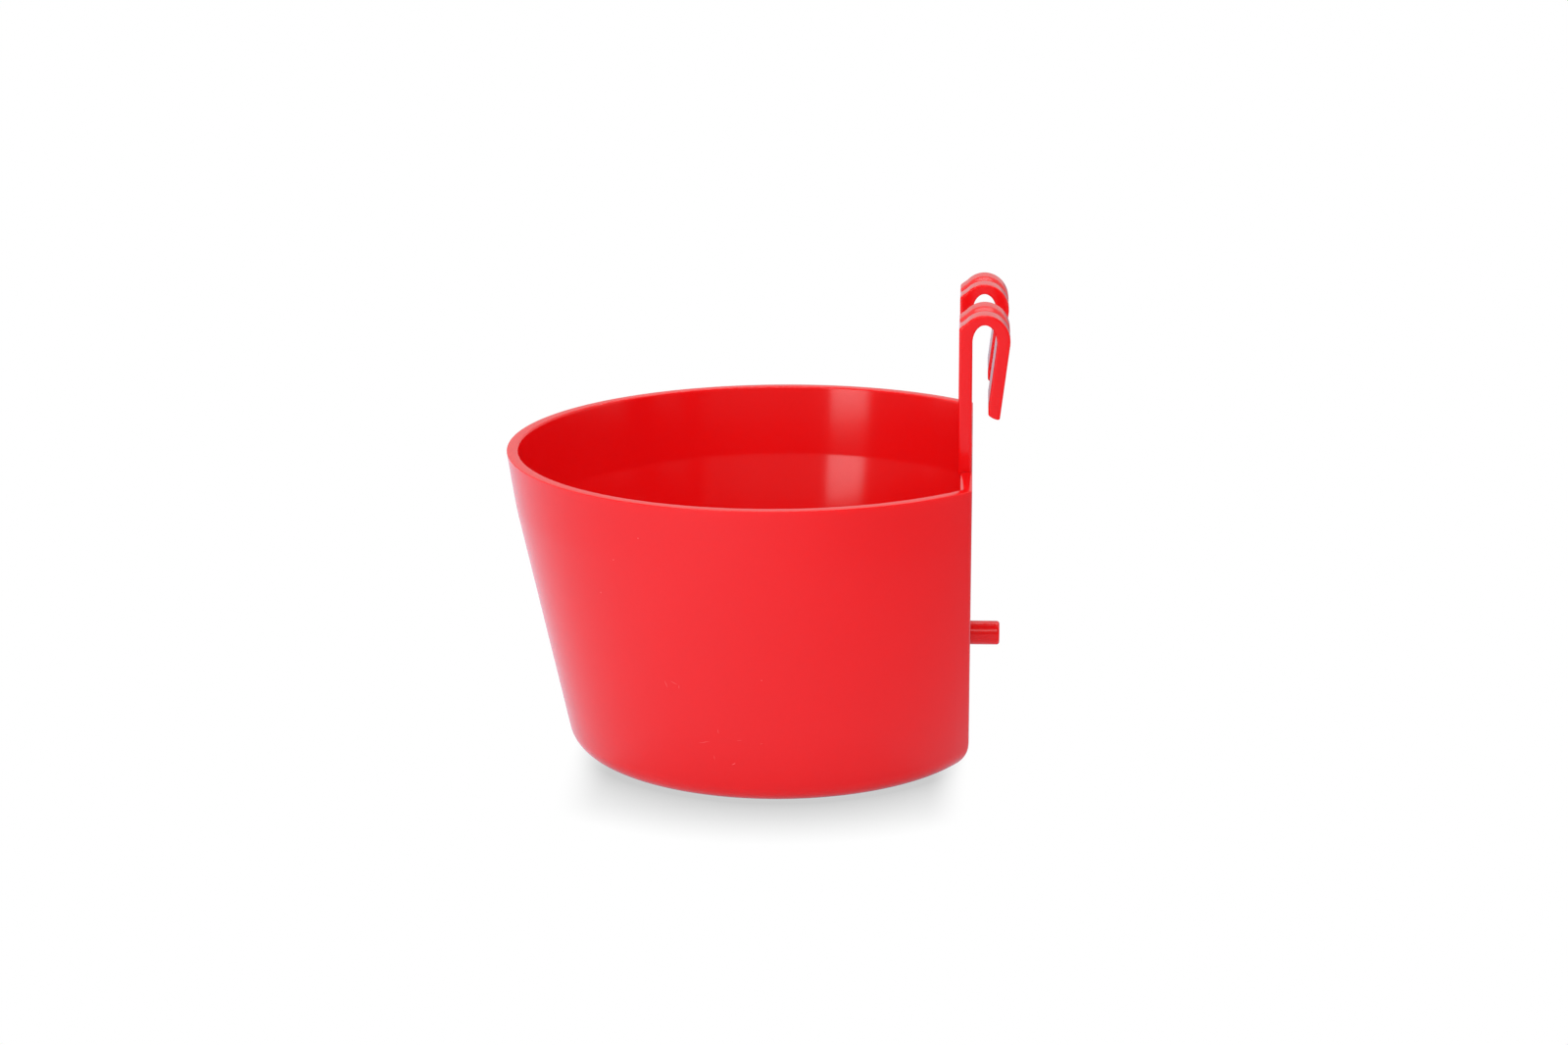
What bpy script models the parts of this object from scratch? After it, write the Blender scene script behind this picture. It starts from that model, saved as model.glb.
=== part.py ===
"""Hook-on poultry feeder.

A plastic cup, round in front and flat at the back, that hangs by two hooks from a cage wire. A short
peg low on its back keeps it upright against the mesh. Metres, +Z up. The origin is where the axis of
the round wall meets the base, +X points to the back, and the part is the same on both sides of Y = 0.
"""

import math

import bmesh
import bpy

# Cup, outside
CUP_HEIGHT = 0.0790
RIM_RADIUS = 0.0700
SHOULDER_HEIGHT = 0.0646
SHOULDER_RADIUS = 0.0679
FOOT_RADIUS = 0.0545
BASE_FILLET = 0.0065
BACK_REACH = 0.0499
BACK_DRAFT = math.radians(0.25)
CORNER_RADIUS = 0.0026

# Cup, inside
RIM_WALL = 0.0029
BODY_WALL = 0.00264
BACK_WALL = 0.0029
FLOOR = 0.0028
INNER_SHOULDER_DROP = 0.0043
INNER_FILLET = 0.0042
INNER_CORNER_RADIUS = 0.0020

# Rounding of the rim's two edges
RIM_EDGE = 0.0005
INNER_RIM_EDGE = 0.0010

# Hooks, with heights above the rim
HOOK_SPACING = 0.0411
HOOK_WIDTH = 0.0186
ARM_SETBACK = 0.00025
ARM_THICKNESS = 0.0033
BEND_THICKNESS = 0.0025
BEND_RISE = 0.0067
LEG_THICKNESS = 0.0033
SLOT_REACH = 0.0030
SLOT_RISE = 0.0044
SLOT_TOP = 0.0368
ARM_TOP_DROP = 0.0008
BEND_START = math.radians(135)
LEG_LEAN = math.radians(7.3)
LEG_LENGTH = 0.0237
TIP_LEAD = 0.0034
TOE_RISE = 0.0012
STRAP_EDGE = 0.0005

# Dished groove on the outside of each hook's bend
DISH_WIDTH = 0.0070
DISH_DEPTH = 0.0009
DISH_RUNOUT = 0.0080
ARM_RUNOUT = 0.0040

# Spacer peg
PEG_RADIUS = 0.0031
PEG_LENGTH = 0.0073
PEG_HEIGHT = 0.0284
PEG_EDGE = 0.0006

# Clearance between a piece and its seat
SEAT_GAP = 0.0003

# Facets
ARC_STEPS = 84
CORNER_STEPS = 5
FLAT_STEPS = 4
FILLET_STEPS = 6
EDGE_STEPS = 2
BEND_STEPS = 22
RUNOUT_STEPS = 4
TOE_STEPS = 4
DISH_STEPS = 10
PEG_STEPS = 40

# Finish
PLASTIC_RED = (0.80, 0.018, 0.022, 1.0)
PLASTIC_ROUGHNESS = 0.22
SMOOTH_ANGLE = math.radians(30)

# Sizes that follow from the ones above
UPPER_SLOPE = (RIM_RADIUS - SHOULDER_RADIUS) / (CUP_HEIGHT - SHOULDER_HEIGHT)
LOWER_SLOPE = (SHOULDER_RADIUS - FOOT_RADIUS) / SHOULDER_HEIGHT
INNER_SHOULDER_HEIGHT = SHOULDER_HEIGHT - INNER_SHOULDER_DROP
BEND_REACH = (ARM_THICKNESS + 2 * SLOT_REACH + LEG_THICKNESS) / 2


def outer_radius(height):
    """Return the round wall's outside radius at a height."""
    if height > SHOULDER_HEIGHT:
        return RIM_RADIUS - (CUP_HEIGHT - height) * UPPER_SLOPE
    return FOOT_RADIUS + height * LOWER_SLOPE


def inner_radius(height):
    """Return the round wall's inside radius at a height.

    Below its own shoulder the inside follows the outside, and above it one straight run leads to the rim.
    """
    if height < INNER_SHOULDER_HEIGHT:
        return outer_radius(height) - BODY_WALL
    shoulder = outer_radius(INNER_SHOULDER_HEIGHT) - BODY_WALL
    rise = (height - INNER_SHOULDER_HEIGHT) / (CUP_HEIGHT - INNER_SHOULDER_HEIGHT)
    return shoulder + (RIM_RADIUS - RIM_WALL - shoulder) * rise


def outer_back(height):
    """Return how far the back wall's outside lies from the axis at a height."""
    return BACK_REACH - (CUP_HEIGHT - height) * math.tan(BACK_DRAFT)


def inner_back(height):
    """Return how far the back wall's inside lies from the axis at a height."""
    return outer_back(height) - BACK_WALL


def quarter_turn(steps):
    """Return (sine, cosine) pairs at even steps from 0 to 90 degrees."""
    angles = [math.pi / 2 * i / steps for i in range(steps + 1)]
    return [(math.sin(angle), math.cos(angle)) for angle in angles]


def oval_arc(centre, reach, rise, start, end, steps):
    """Return the points of an oval's arc in a plane, from one angle to the other."""
    angles = [start + (end - start) * i / steps for i in range(steps + 1)]
    return [(centre[0] + reach * math.cos(angle), centre[1] + rise * math.sin(angle)) for angle in angles]


def arc(centre, radius, start, end, steps):
    """Return the points of a circle's arc in a plane, from one angle to the other."""
    return oval_arc(centre, radius, radius, start, end, steps)


def oval_inwards(centre, reach, rise, point):
    """Return the way of length one that leads straight in from a point of an oval, in its plane."""
    across = (centre[0] - point[0]) / reach ** 2
    down = (centre[1] - point[1]) / rise ** 2
    length = math.hypot(across, down)
    return across / length, down / length


def d_ring(radius, back, corner, height):
    """Return one level of the cup: a circle cut by the flat back, with rounded corners.

    The back only cuts a level where it lies inside the circle, so the reach stops just short of it.
    """
    reach = min(back, radius - corner / 10)
    middle = reach - corner
    half_flat = math.sqrt((radius - corner) ** 2 - middle ** 2)
    turn = math.atan2(half_flat, middle)
    points = arc((middle, -half_flat), corner, -turn, 0, CORNER_STEPS)
    points += [(reach, half_flat * (2 * i / FLAT_STEPS - 1)) for i in range(1, FLAT_STEPS)]
    points += arc((middle, half_flat), corner, 0, turn, CORNER_STEPS)
    points += arc((0, 0), radius, turn, 2 * math.pi - turn, ARC_STEPS)[1:-1]
    return [(x, y, height) for x, y in points]


def wall_level(radius_at, back_at, height):
    """Return (radius, back, height) where the walls pass one height."""
    return radius_at(height), back_at(height), height


def rim_levels(radius_at, back_at, edge, outward):
    """Return (radius, back, height) round one edge of the rim, from its top down to the wall."""
    levels = []
    for sine, cosine in quarter_turn(EDGE_STEPS):
        height = CUP_HEIGHT - edge * (1 - cosine)
        inset = outward * edge * (1 - sine)
        levels.append((radius_at(height) - inset, back_at(height) - inset, height))
    return levels


def fillet_levels(radius_at, back_at, fillet, bottom):
    """Return (radius, back, height) where the walls round into the base or the floor, from the top."""
    lean = math.atan(LOWER_SLOPE)
    middle = bottom + fillet
    fillet_radius = radius_at(middle) - fillet / math.cos(lean)
    fillet_back = back_at(middle) - fillet
    levels = [wall_level(radius_at, back_at, middle)]
    for angle in (lean + (math.pi / 2 - lean) * i / FILLET_STEPS for i in range(FILLET_STEPS + 1)):
        out = fillet * math.cos(angle)
        levels.append((fillet_radius + out, fillet_back + out, middle - fillet * math.sin(angle)))
    return levels


def cup_rings():
    """Return the cup's levels, up its inside from the floor and down its outside to the base."""
    inside = rim_levels(inner_radius, inner_back, INNER_RIM_EDGE, -1)
    inside.append(wall_level(inner_radius, inner_back, INNER_SHOULDER_HEIGHT))
    inside += fillet_levels(inner_radius, inner_back, INNER_FILLET, FLOOR)
    outside = rim_levels(outer_radius, outer_back, RIM_EDGE, 1)
    outside.append(wall_level(outer_radius, outer_back, SHOULDER_HEIGHT))
    outside += fillet_levels(outer_radius, outer_back, BASE_FILLET, 0.0)
    rings = [d_ring(radius, back, INNER_CORNER_RADIUS, height) for radius, back, height in reversed(inside)]
    rings += [d_ring(radius, back, CORNER_RADIUS, height) for radius, back, height in outside]
    return rings


def hook_outline():
    """Return a hook's side view from its foot over the bend to the tip and back, as (x, z) points.

    A second list has the way in which the dished groove lowers each point, as (x, z) for its full depth.
    """
    bend = (BEND_REACH - ARM_THICKNESS, SLOT_TOP + BEND_THICKNESS - BEND_RISE)
    slot = (SLOT_REACH, SLOT_TOP - SLOT_RISE)
    arm_top = SLOT_TOP - ARM_TOP_DROP
    bend_end = -math.atan(math.tan(LEG_LEAN) * BEND_RISE / BEND_REACH)
    slot_end = -math.atan(math.tan(LEG_LEAN) * SLOT_RISE / SLOT_REACH)
    tip = SLOT_TOP - LEG_LENGTH
    lead_top = tip + TIP_LEAD

    outer_bend = oval_arc(bend, BEND_REACH, BEND_RISE, BEND_START, bend_end, BEND_STEPS)
    inner_bend = oval_arc(slot, SLOT_REACH, SLOT_RISE, slot_end, math.pi, BEND_STEPS)
    leg_way = (-math.sin(LEG_LEAN), -math.cos(LEG_LEAN))
    leg_top = outer_bend[-1]
    outer_tip = leg_top[0] - (leg_top[1] - tip) * math.tan(LEG_LEAN)
    inner_tip = inner_bend[0][0] - (inner_bend[0][1] - lead_top) * math.tan(LEG_LEAN)

    bend_lowering = [oval_inwards(bend, BEND_REACH, BEND_RISE, point) for point in outer_bend]
    inwards = bend_lowering[-1]
    points = [(-ARM_THICKNESS, height) for height in (SEAT_GAP, arm_top - ARM_RUNOUT, arm_top)] + outer_bend
    lowering = [(0.0, 0.0), (0.0, 0.0), bend_lowering[0]] + bend_lowering
    for i in range(1, RUNOUT_STEPS + 1):
        along = i / RUNOUT_STEPS
        share = (1 + math.cos(math.pi * along)) / 2
        reach = DISH_RUNOUT * along
        points.append((leg_top[0] + leg_way[0] * reach, leg_top[1] + leg_way[1] * reach))
        lowering.append((inwards[0] * share, inwards[1] * share))
    plain = []
    for along in (i / TOE_STEPS for i in range(TOE_STEPS + 1)):
        plain.append((outer_tip + (inner_tip - outer_tip) * along, tip + TOE_RISE * along ** 2))
    plain.append((inner_tip, lead_top))
    plain += inner_bend
    plain.append((0.0, SEAT_GAP))
    return points + plain, lowering + [(0.0, 0.0)] * len(plain)


def inset_ways(points):
    """Return the way in which each point of a clockwise outline moves for an inset of one metre.

    The foot's two ends only move sideways, so that the foot stays flat on its seat.
    """
    ways = []
    last = len(points) - 1
    for i, (x, z) in enumerate(points):
        before = points[i - 1]
        after = points[(i + 1) % len(points)]
        first_run = math.hypot(x - before[0], z - before[1])
        second_run = math.hypot(after[0] - x, after[1] - z)
        way_x = (z - before[1]) / first_run + (after[1] - z) / second_run
        way_z = (before[0] - x) / first_run + (x - after[0]) / second_run
        stretch = 2 / (way_x ** 2 + way_z ** 2)
        ways.append((way_x * stretch, 0.0 if i in (0, last) else way_z * stretch))
    return ways


def hook_stations():
    """Return (y, inset, dish) for each outline across a strap, from one side face to the other."""
    edge = []
    for sine, cosine in quarter_turn(EDGE_STEPS):
        edge.append((HOOK_WIDTH / 2 - STRAP_EDGE * (1 - cosine), STRAP_EDGE * (1 - sine), 0.0))
    dish = []
    for across in (1 - 2 * i / DISH_STEPS for i in range(DISH_STEPS + 1)):
        dish.append((across * DISH_WIDTH / 2, 0.0, DISH_DEPTH * (1 + math.cos(math.pi * across)) / 2))
    return edge + dish + [(-y, inset, depth) for y, inset, depth in reversed(edge)]


def hook_rings():
    """Return a hook's outlines across its width, about the middle of its foot."""
    points, lowering = hook_outline()
    ways = inset_ways(points)
    rings = []
    for y, inset, depth in hook_stations():
        ring = []
        for (x, z), way, low in zip(points, ways, lowering):
            ring.append((x + way[0] * inset + low[0] * depth, y, z + way[1] * inset + low[1] * depth))
        rings.append(ring)
    return rings


def peg_rings():
    """Return the peg's rings from its root to its rounded end, about the middle of its root."""
    stations = [(0.0, PEG_RADIUS)]
    for sine, cosine in reversed(quarter_turn(EDGE_STEPS)):
        stations.append((PEG_LENGTH - PEG_EDGE * (1 - cosine), PEG_RADIUS - PEG_EDGE * (1 - sine)))
    rings = []
    for x, radius in stations:
        ring = arc((0, 0), radius, 0, 2 * math.pi, PEG_STEPS)[:-1]
        rings.append([(x, y, z) for y, z in ring])
    return rings


def loft(name, rings):
    """Return a closed mesh that runs through rings of equal length, with a flat face over each end."""
    work = bmesh.new()
    loops = [[work.verts.new(point) for point in ring] for ring in rings]
    for lower, upper in zip(loops, loops[1:]):
        for i in range(len(lower)):
            work.faces.new((lower[i - 1], lower[i], upper[i], upper[i - 1]))
    work.faces.new(loops[0])
    work.faces.new(loops[-1])
    bmesh.ops.recalc_face_normals(work, faces=work.faces)
    mesh = bpy.data.meshes.new(name)
    work.to_mesh(mesh)
    work.free()
    mesh.shade_smooth()
    mesh.set_sharp_from_angle(angle=SMOOTH_ANGLE)
    return mesh


def red_plastic():
    """Return the glossy red plastic that the whole feeder is moulded in."""
    material = bpy.data.materials.new("red_plastic")
    material.use_nodes = True
    shader = material.node_tree.nodes["Principled BSDF"]
    shader.inputs["Base Color"].default_value = PLASTIC_RED
    shader.inputs["Roughness"].default_value = PLASTIC_ROUGHNESS
    shader.inputs["Metallic"].default_value = 0.0
    return material


def add_piece(name, mesh, place, parent):
    """Add one named piece to the scene at a place in its parent's frame."""
    piece = bpy.data.objects.new(name, mesh)
    piece.location = place
    piece.parent = parent
    bpy.context.scene.collection.objects.link(piece)
    return piece


def clear_scene():
    """Remove every object that the scene starts with."""
    for thing in list(bpy.data.objects):
        bpy.data.objects.remove(thing, do_unlink=True)


def build_feeder():
    """Build the cup, its two hooks and its spacer peg."""
    clear_scene()
    plastic = red_plastic()
    frame = add_piece("feeder_frame", None, (0.0, 0.0, 0.0), None)

    cup_mesh = loft("cup", cup_rings())
    hook_mesh = loft("hook", hook_rings())
    peg_mesh = loft("spacer_peg", peg_rings())
    for mesh in (cup_mesh, hook_mesh, peg_mesh):
        mesh.materials.append(plastic)

    add_piece("cup", cup_mesh, (0.0, 0.0, 0.0), frame)
    for name, side in (("left_hook", 1), ("right_hook", -1)):
        place = (BACK_REACH - ARM_SETBACK, side * HOOK_SPACING / 2, CUP_HEIGHT)
        add_piece(name, hook_mesh, place, frame)
    peg_seat = outer_back(PEG_HEIGHT + PEG_RADIUS) + SEAT_GAP
    add_piece("spacer_peg", peg_mesh, (peg_seat, 0.0, PEG_HEIGHT), frame)


build_feeder()
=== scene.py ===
"""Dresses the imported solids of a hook-on poultry feeder as the photograph shows it.

The cup, its two hook straps and its stand-off peg are modelled again with the fine rounding that the
solids leave out, moulded in one red plastic, and set on a pale floor in soft studio light. Metres, +Z up,
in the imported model's own frame: +X points to the flat back, and both sides of Y = 0 are alike.
"""

import logging
import math
from dataclasses import dataclass
from enum import Enum, IntEnum
from typing import Any, ClassVar

import bmesh
import bpy
from mathutils import Matrix, Vector


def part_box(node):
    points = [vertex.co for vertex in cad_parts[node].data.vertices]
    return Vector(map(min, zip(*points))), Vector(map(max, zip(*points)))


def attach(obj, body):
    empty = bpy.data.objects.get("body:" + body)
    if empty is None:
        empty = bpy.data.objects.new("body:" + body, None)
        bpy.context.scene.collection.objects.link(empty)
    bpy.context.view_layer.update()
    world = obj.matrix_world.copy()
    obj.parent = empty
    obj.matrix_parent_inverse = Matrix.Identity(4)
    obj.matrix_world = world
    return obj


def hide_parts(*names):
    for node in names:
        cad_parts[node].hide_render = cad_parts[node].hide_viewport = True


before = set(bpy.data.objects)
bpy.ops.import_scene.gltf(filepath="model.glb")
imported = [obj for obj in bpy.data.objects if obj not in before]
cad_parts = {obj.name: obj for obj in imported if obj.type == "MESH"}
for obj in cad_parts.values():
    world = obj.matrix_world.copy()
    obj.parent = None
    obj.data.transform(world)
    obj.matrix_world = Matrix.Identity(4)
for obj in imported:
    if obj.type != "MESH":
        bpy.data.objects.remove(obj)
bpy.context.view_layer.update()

LOG = logging.getLogger("feeder")
BODY = "root"
MM = 0.001
MERGE_DISTANCE = 1e-6
WHITE = (1.0, 1.0, 1.0, 1.0)
BLACK = (0.0, 0.0, 0.0, 1.0)
UP = Vector((0, 0, 1))
ACROSS = Vector((0, 1, 0))
BACKWARDS = Vector((1, 0, 0))

Value = bpy.types.NodeSocket | float | tuple[float, ...]


class CupFace(IntEnum):
    """Material slots of the cup."""

    OUTSIDE = 0
    INSIDE = 1


class Hook(Enum):
    """The two hooks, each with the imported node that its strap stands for."""

    LEFT = "left_hook"
    RIGHT = "right_hook"


class Sight(Enum):
    """Which rays see a panel of the studio."""

    REFLECTIONS = "reflections"
    EVERYTHING = "everything"


class NodeBoard:
    """Lays nodes into one shader tree and wires them together."""

    def __init__(self, tree: bpy.types.NodeTree) -> None:
        """Take the tree that is to be filled."""
        self.tree = tree

    def feed(self, socket: bpy.types.NodeSocket, value: Value) -> None:
        """Wire a socket to another one, or set it to a plain value."""
        if isinstance(value, bpy.types.NodeSocket):
            self.tree.links.new(value, socket)
        else:
            socket.default_value = value

    def put(self, kind: str, inputs: dict[str | int, Value] | None = None, **settings: Any) -> bpy.types.Node:
        """Add one node.

        Args:
            kind: Blender's name for the type of node.
            inputs: sockets by name or number, each with its value or the socket that feeds it.
            settings: properties of the node itself.

        Returns:
            The new node.
        """
        node = self.tree.nodes.new(kind)
        for name, value in settings.items():
            setattr(node, name, value)
        for key, value in (inputs or {}).items():
            self.feed(node.inputs[key], value)
        return node

    def math(self, operation: str, *terms: Value, clamp: bool = False) -> bpy.types.NodeSocket:
        """Return the result of a Math node on some terms."""
        terms_by_place = dict(enumerate(terms))
        return self.put("ShaderNodeMath", terms_by_place, operation=operation, use_clamp=clamp).outputs[0]

    def vector(self, operation: str, *terms: Value) -> bpy.types.NodeSocket:
        """Return the vector that a Vector Math node makes of some terms."""
        terms_by_place = dict(enumerate(terms))
        return self.put("ShaderNodeVectorMath", terms_by_place, operation=operation).outputs["Vector"]

    def length(self, vector: Value) -> bpy.types.NodeSocket:
        """Return the length of a vector."""
        return self.put("ShaderNodeVectorMath", {0: vector}, operation="LENGTH").outputs["Value"]

    def noise(self, position: Value, scale: Value, detail: float) -> bpy.types.NodeSocket:
        """Return a noise that lies about evenly between 0 and 1."""
        inputs = {"Vector": position, "Scale": scale, "Detail": detail}
        return self.put("ShaderNodeTexNoise", inputs).outputs["Fac"]

    def blend(self, share: Value, first: Value, second: Value) -> bpy.types.NodeSocket:
        """Return a blend of two colours, which is the second where the share is 1."""
        inputs = {"Factor": share, 6: first, 7: second}
        return self.put("ShaderNodeMix", inputs, data_type="RGBA").outputs[2]

    def ramp(self, value: Value, start: float, end: float, low: float = 0.0,
             high: float = 1.0) -> bpy.types.NodeSocket:
        """Return a smooth step from one level to another.

        Args:
            value: what the step follows.
            start: value at which the low level ends.
            end: value at which the high level begins.
            low: level before the step.
            high: level after the step.

        Returns:
            The socket that carries the step.
        """
        inputs = {"Value": value, "From Min": start, "From Max": end, "To Min": low, "To Max": high}
        node = self.put("ShaderNodeMapRange", inputs, interpolation_type="SMOOTHSTEP")
        return node.outputs["Result"]


@dataclass(frozen=True)
class Scratch:
    """One handling mark that the photograph shows on the round wall.

    Attributes:
        bearing: where it lies round the wall, in degrees from the front, to the left.
        height: how far it lies over the base, in metres.
        length: length along the mark, in metres.
        lean: turn of the mark from level, in degrees, seen from the front.
        share: how pale it is, from 0 to 1.
    """

    bearing: float
    height: float
    length: float
    lean: float
    share: float


SCRATCHES = (
    Scratch(23.6, 31.5 * MM, 2.5 * MM, -76, 0.5),
    Scratch(21.5, 32.2 * MM, 2.6 * MM, -20, 0.45),
    Scratch(20.3, 31.2 * MM, 1.3 * MM, -90, 0.45),
    Scratch(15.3, 16.6 * MM, 3.8 * MM, 13, 0.5),
    Scratch(11.5, 20.0 * MM, 1.7 * MM, -82, 0.45),
    Scratch(13.0, 12.5 * MM, 1.7 * MM, -83, 0.4),
    Scratch(8.1, 11.2 * MM, 1.5 * MM, 25, 1.0),
    Scratch(6.4, 17.8 * MM, 1.8 * MM, 3, 0.35),
    Scratch(1.0, 17.1 * MM, 0.9 * MM, 28, 0.35),
    Scratch(25.8, 70.0 * MM, 0.6 * MM, 8, 0.8),
    Scratch(32.7, 63.2 * MM, 0.6 * MM, 10, 0.7),
    Scratch(38.1, 53.3 * MM, 0.6 * MM, -80, 0.8),
)


class EffectGroup:
    """A shader node group with named sockets, built once and placed in each finish that uses it."""

    def __init__(self, name: str, inputs: dict[str, str], outputs: dict[str, str]) -> None:
        """Make an empty group.

        Args:
            name: the group's name.
            inputs: socket types by socket name.
            outputs: socket types by socket name.
        """
        self.tree = bpy.data.node_groups.new(name, "ShaderNodeTree")
        for socket_name, kind in inputs.items():
            self.tree.interface.new_socket(socket_name, in_out="INPUT", socket_type=kind)
        for socket_name, kind in outputs.items():
            self.tree.interface.new_socket(socket_name, in_out="OUTPUT", socket_type=kind)
        self.board = NodeBoard(self.tree)
        self.given = self.board.put("NodeGroupInput").outputs
        self.result = self.board.put("NodeGroupOutput").inputs

    def place(self, board: NodeBoard, inputs: dict[str | int, Value]) -> bpy.types.NodeOutputs:
        """Put the group in a material and return its outputs there."""
        return board.put("ShaderNodeGroup", inputs, node_tree=self.tree).outputs


class PigmentDrift(EffectGroup):
    """Slow streaks of slightly more or less pigment, with a fine grain in them."""

    STREAK_SCALE = 22.0
    STREAK_DETAIL = 2.0
    GRAIN_SCALE = 900.0
    GRAIN_DETAIL = 1.0
    GRAIN_SHARE = 0.35

    def __init__(self) -> None:
        """Build the group."""
        sockets = {"Position": "NodeSocketVector", "Pigment": "NodeSocketColor", "Drift": "NodeSocketFloat"}
        super().__init__("pigment_drift", sockets, {"Color": "NodeSocketColor"})
        board = self.board
        streak = board.noise(self.given["Position"], self.STREAK_SCALE, self.STREAK_DETAIL)
        grain = board.noise(self.given["Position"], self.GRAIN_SCALE, self.GRAIN_DETAIL)
        mixed = board.math("MULTIPLY_ADD", grain, self.GRAIN_SHARE, streak)
        middled = board.math("SUBTRACT", mixed, (1 + self.GRAIN_SHARE) / 2)
        level = board.math("MULTIPLY_ADD", middled, self.given["Drift"], 1.0)
        scaled = board.put("ShaderNodeVectorMath", {0: self.given["Pigment"]}, operation="SCALE")
        board.feed(scaled.inputs["Scale"], level)
        board.feed(self.result["Color"], scaled.outputs["Vector"])


class MouldPeel(EffectGroup):
    """The faint waviness of moulded plastic, with draw lines up the wall."""

    PEEL_DETAIL = 2.0
    DRAW_STRETCH = (1.0, 1.0, 0.04)
    DRAW_SCALE = 420.0
    DRAW_DETAIL = 1.0
    DRAW_SHARE = 0.3
    PATCH_SCALE = 38.0
    PATCH_DETAIL = 3.0

    def __init__(self) -> None:
        """Build the group."""
        sockets = {"Position": "NodeSocketVector", "Scale": "NodeSocketFloat"}
        super().__init__("mould_peel", sockets, {"Height": "NodeSocketFloat", "Gloss": "NodeSocketFloat"})
        board = self.board
        peel = board.noise(self.given["Position"], self.given["Scale"], self.PEEL_DETAIL)
        drawn = board.vector("MULTIPLY", self.given["Position"], self.DRAW_STRETCH)
        lines = board.noise(drawn, self.DRAW_SCALE, self.DRAW_DETAIL)
        board.feed(self.result["Height"], board.math("MULTIPLY_ADD", lines, self.DRAW_SHARE, peel))
        patches = board.noise(self.given["Position"], self.PATCH_SCALE, self.PATCH_DETAIL)
        board.feed(self.result["Gloss"], board.math("SUBTRACT", patches, 0.5))


class HandlingMarks(EffectGroup):
    """Sparse specks and hair scratches from handling, and the marks that the photograph shows."""

    SPECK_SCALE = 95.0
    SPECK_SIZE = 0.016
    SPECK_CHANCE = 0.86
    HAIR_STRETCH = (0.35, 0.35, 1.6)
    HAIR_TURN = (0.5, 0.35, 0.2)
    HAIR_SCALE = 70.0
    HAIR_SIZE = 0.03
    HAIR_CHANCE = 0.9
    HAIR_SHARE = 0.5
    DOT_CORE = 0.5
    MARK_CORE = 0.3
    MARK_WIDTH = 0.3 * MM
    MARK_DEPTH = 2.5 * MM
    WAVER = 0.3 * MM
    WAVER_SCALE = 700.0
    WAVER_DETAIL = 1.0

    def __init__(self, cup: "Cup") -> None:
        """Build the group.

        Args:
            cup: the cup that the photographed marks lie on.
        """
        super().__init__("handling_marks", {"Position": "NodeSocketVector"}, {"Mask": "NodeSocketFloat"})
        board = self.board
        position = self.given["Position"]
        wander = board.put("ShaderNodeTexNoise", {"Vector": position, "Scale": self.WAVER_SCALE,
                                                  "Detail": self.WAVER_DETAIL})
        middled = board.vector("SUBTRACT", wander.outputs["Color"], (0.5, 0.5, 0.5))
        shaken = board.vector("MULTIPLY_ADD", middled, (self.WAVER,) * 3, position)
        specks = self.scatter(position, self.SPECK_SCALE, self.SPECK_SIZE, self.SPECK_CHANCE)
        turned = board.put("ShaderNodeMapping", {"Vector": shaken, "Rotation": self.HAIR_TURN,
                                                 "Scale": self.HAIR_STRETCH}).outputs["Vector"]
        hairs = self.scatter(turned, self.HAIR_SCALE, self.HAIR_SIZE, self.HAIR_CHANCE)
        mask = board.math("MAXIMUM", specks, board.math("MULTIPLY", hairs, self.HAIR_SHARE))
        for scratch in SCRATCHES:
            wall_radius = cup.outer_level(scratch.height).radius
            mask = board.math("MAXIMUM", mask, self.mark(shaken, scratch, wall_radius))
        board.feed(self.result["Mask"], mask)

    def scatter(self, position: Value, scale: float, size: float, chance: float) -> bpy.types.NodeSocket:
        """Return dots at a few points of a scattered pattern.

        Args:
            position: where the pattern is read.
            scale: how close its points lie.
            size: radius of a dot, as a share of the pattern's cell.
            chance: share of the points that carry none.

        Returns:
            The socket that carries the dots, 1 on a dot and 0 elsewhere.
        """
        cells = self.board.put("ShaderNodeTexVoronoi", {"Vector": position, "Scale": scale})
        dots = self.board.ramp(cells.outputs["Distance"], size * self.DOT_CORE, size, 1.0, 0.0)
        drawn = self.board.put("ShaderNodeSeparateColor", {"Color": cells.outputs["Color"]}).outputs["Red"]
        return self.board.math("MULTIPLY", dots, self.board.math("GREATER_THAN", drawn, chance))

    def mark(self, position: Value, scratch: Scratch, wall_radius: float) -> bpy.types.NodeSocket:
        """Return one thin mark on the wall.

        Args:
            position: where the mark is read.
            scratch: the mark.
            wall_radius: radius of the wall at the mark's height.

        Returns:
            The socket that carries the mark, at its full share along the middle and 0 off it.
        """
        faced = self.turn(position, UP, math.radians(scratch.bearing))
        moved = self.board.vector("SUBTRACT", faced, (0.0, -wall_radius, scratch.height))
        laid = self.turn(moved, ACROSS, math.radians(scratch.lean))
        sizes = (2 / scratch.length, 1 / self.MARK_DEPTH, 2 / self.MARK_WIDTH)
        off_middle = self.board.length(self.board.vector("MULTIPLY", laid, sizes))
        return self.board.ramp(off_middle, self.MARK_CORE, 1.0, scratch.share, 0.0)

    def turn(self, vector: Value, axis: Vector, angle: float) -> bpy.types.NodeSocket:
        """Return a vector turned round an axis through the origin."""
        inputs = {"Vector": vector, "Axis": tuple(axis), "Angle": angle}
        return self.board.put("ShaderNodeVectorRotate", inputs).outputs["Vector"]


class PlasticEffects:
    """The effects that all finishes of the red plastic share."""

    def __init__(self, cup: "Cup") -> None:
        """Build the three groups for one cup."""
        self.drift = PigmentDrift()
        self.peel = MouldPeel()
        self.marks = HandlingMarks(cup)


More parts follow.
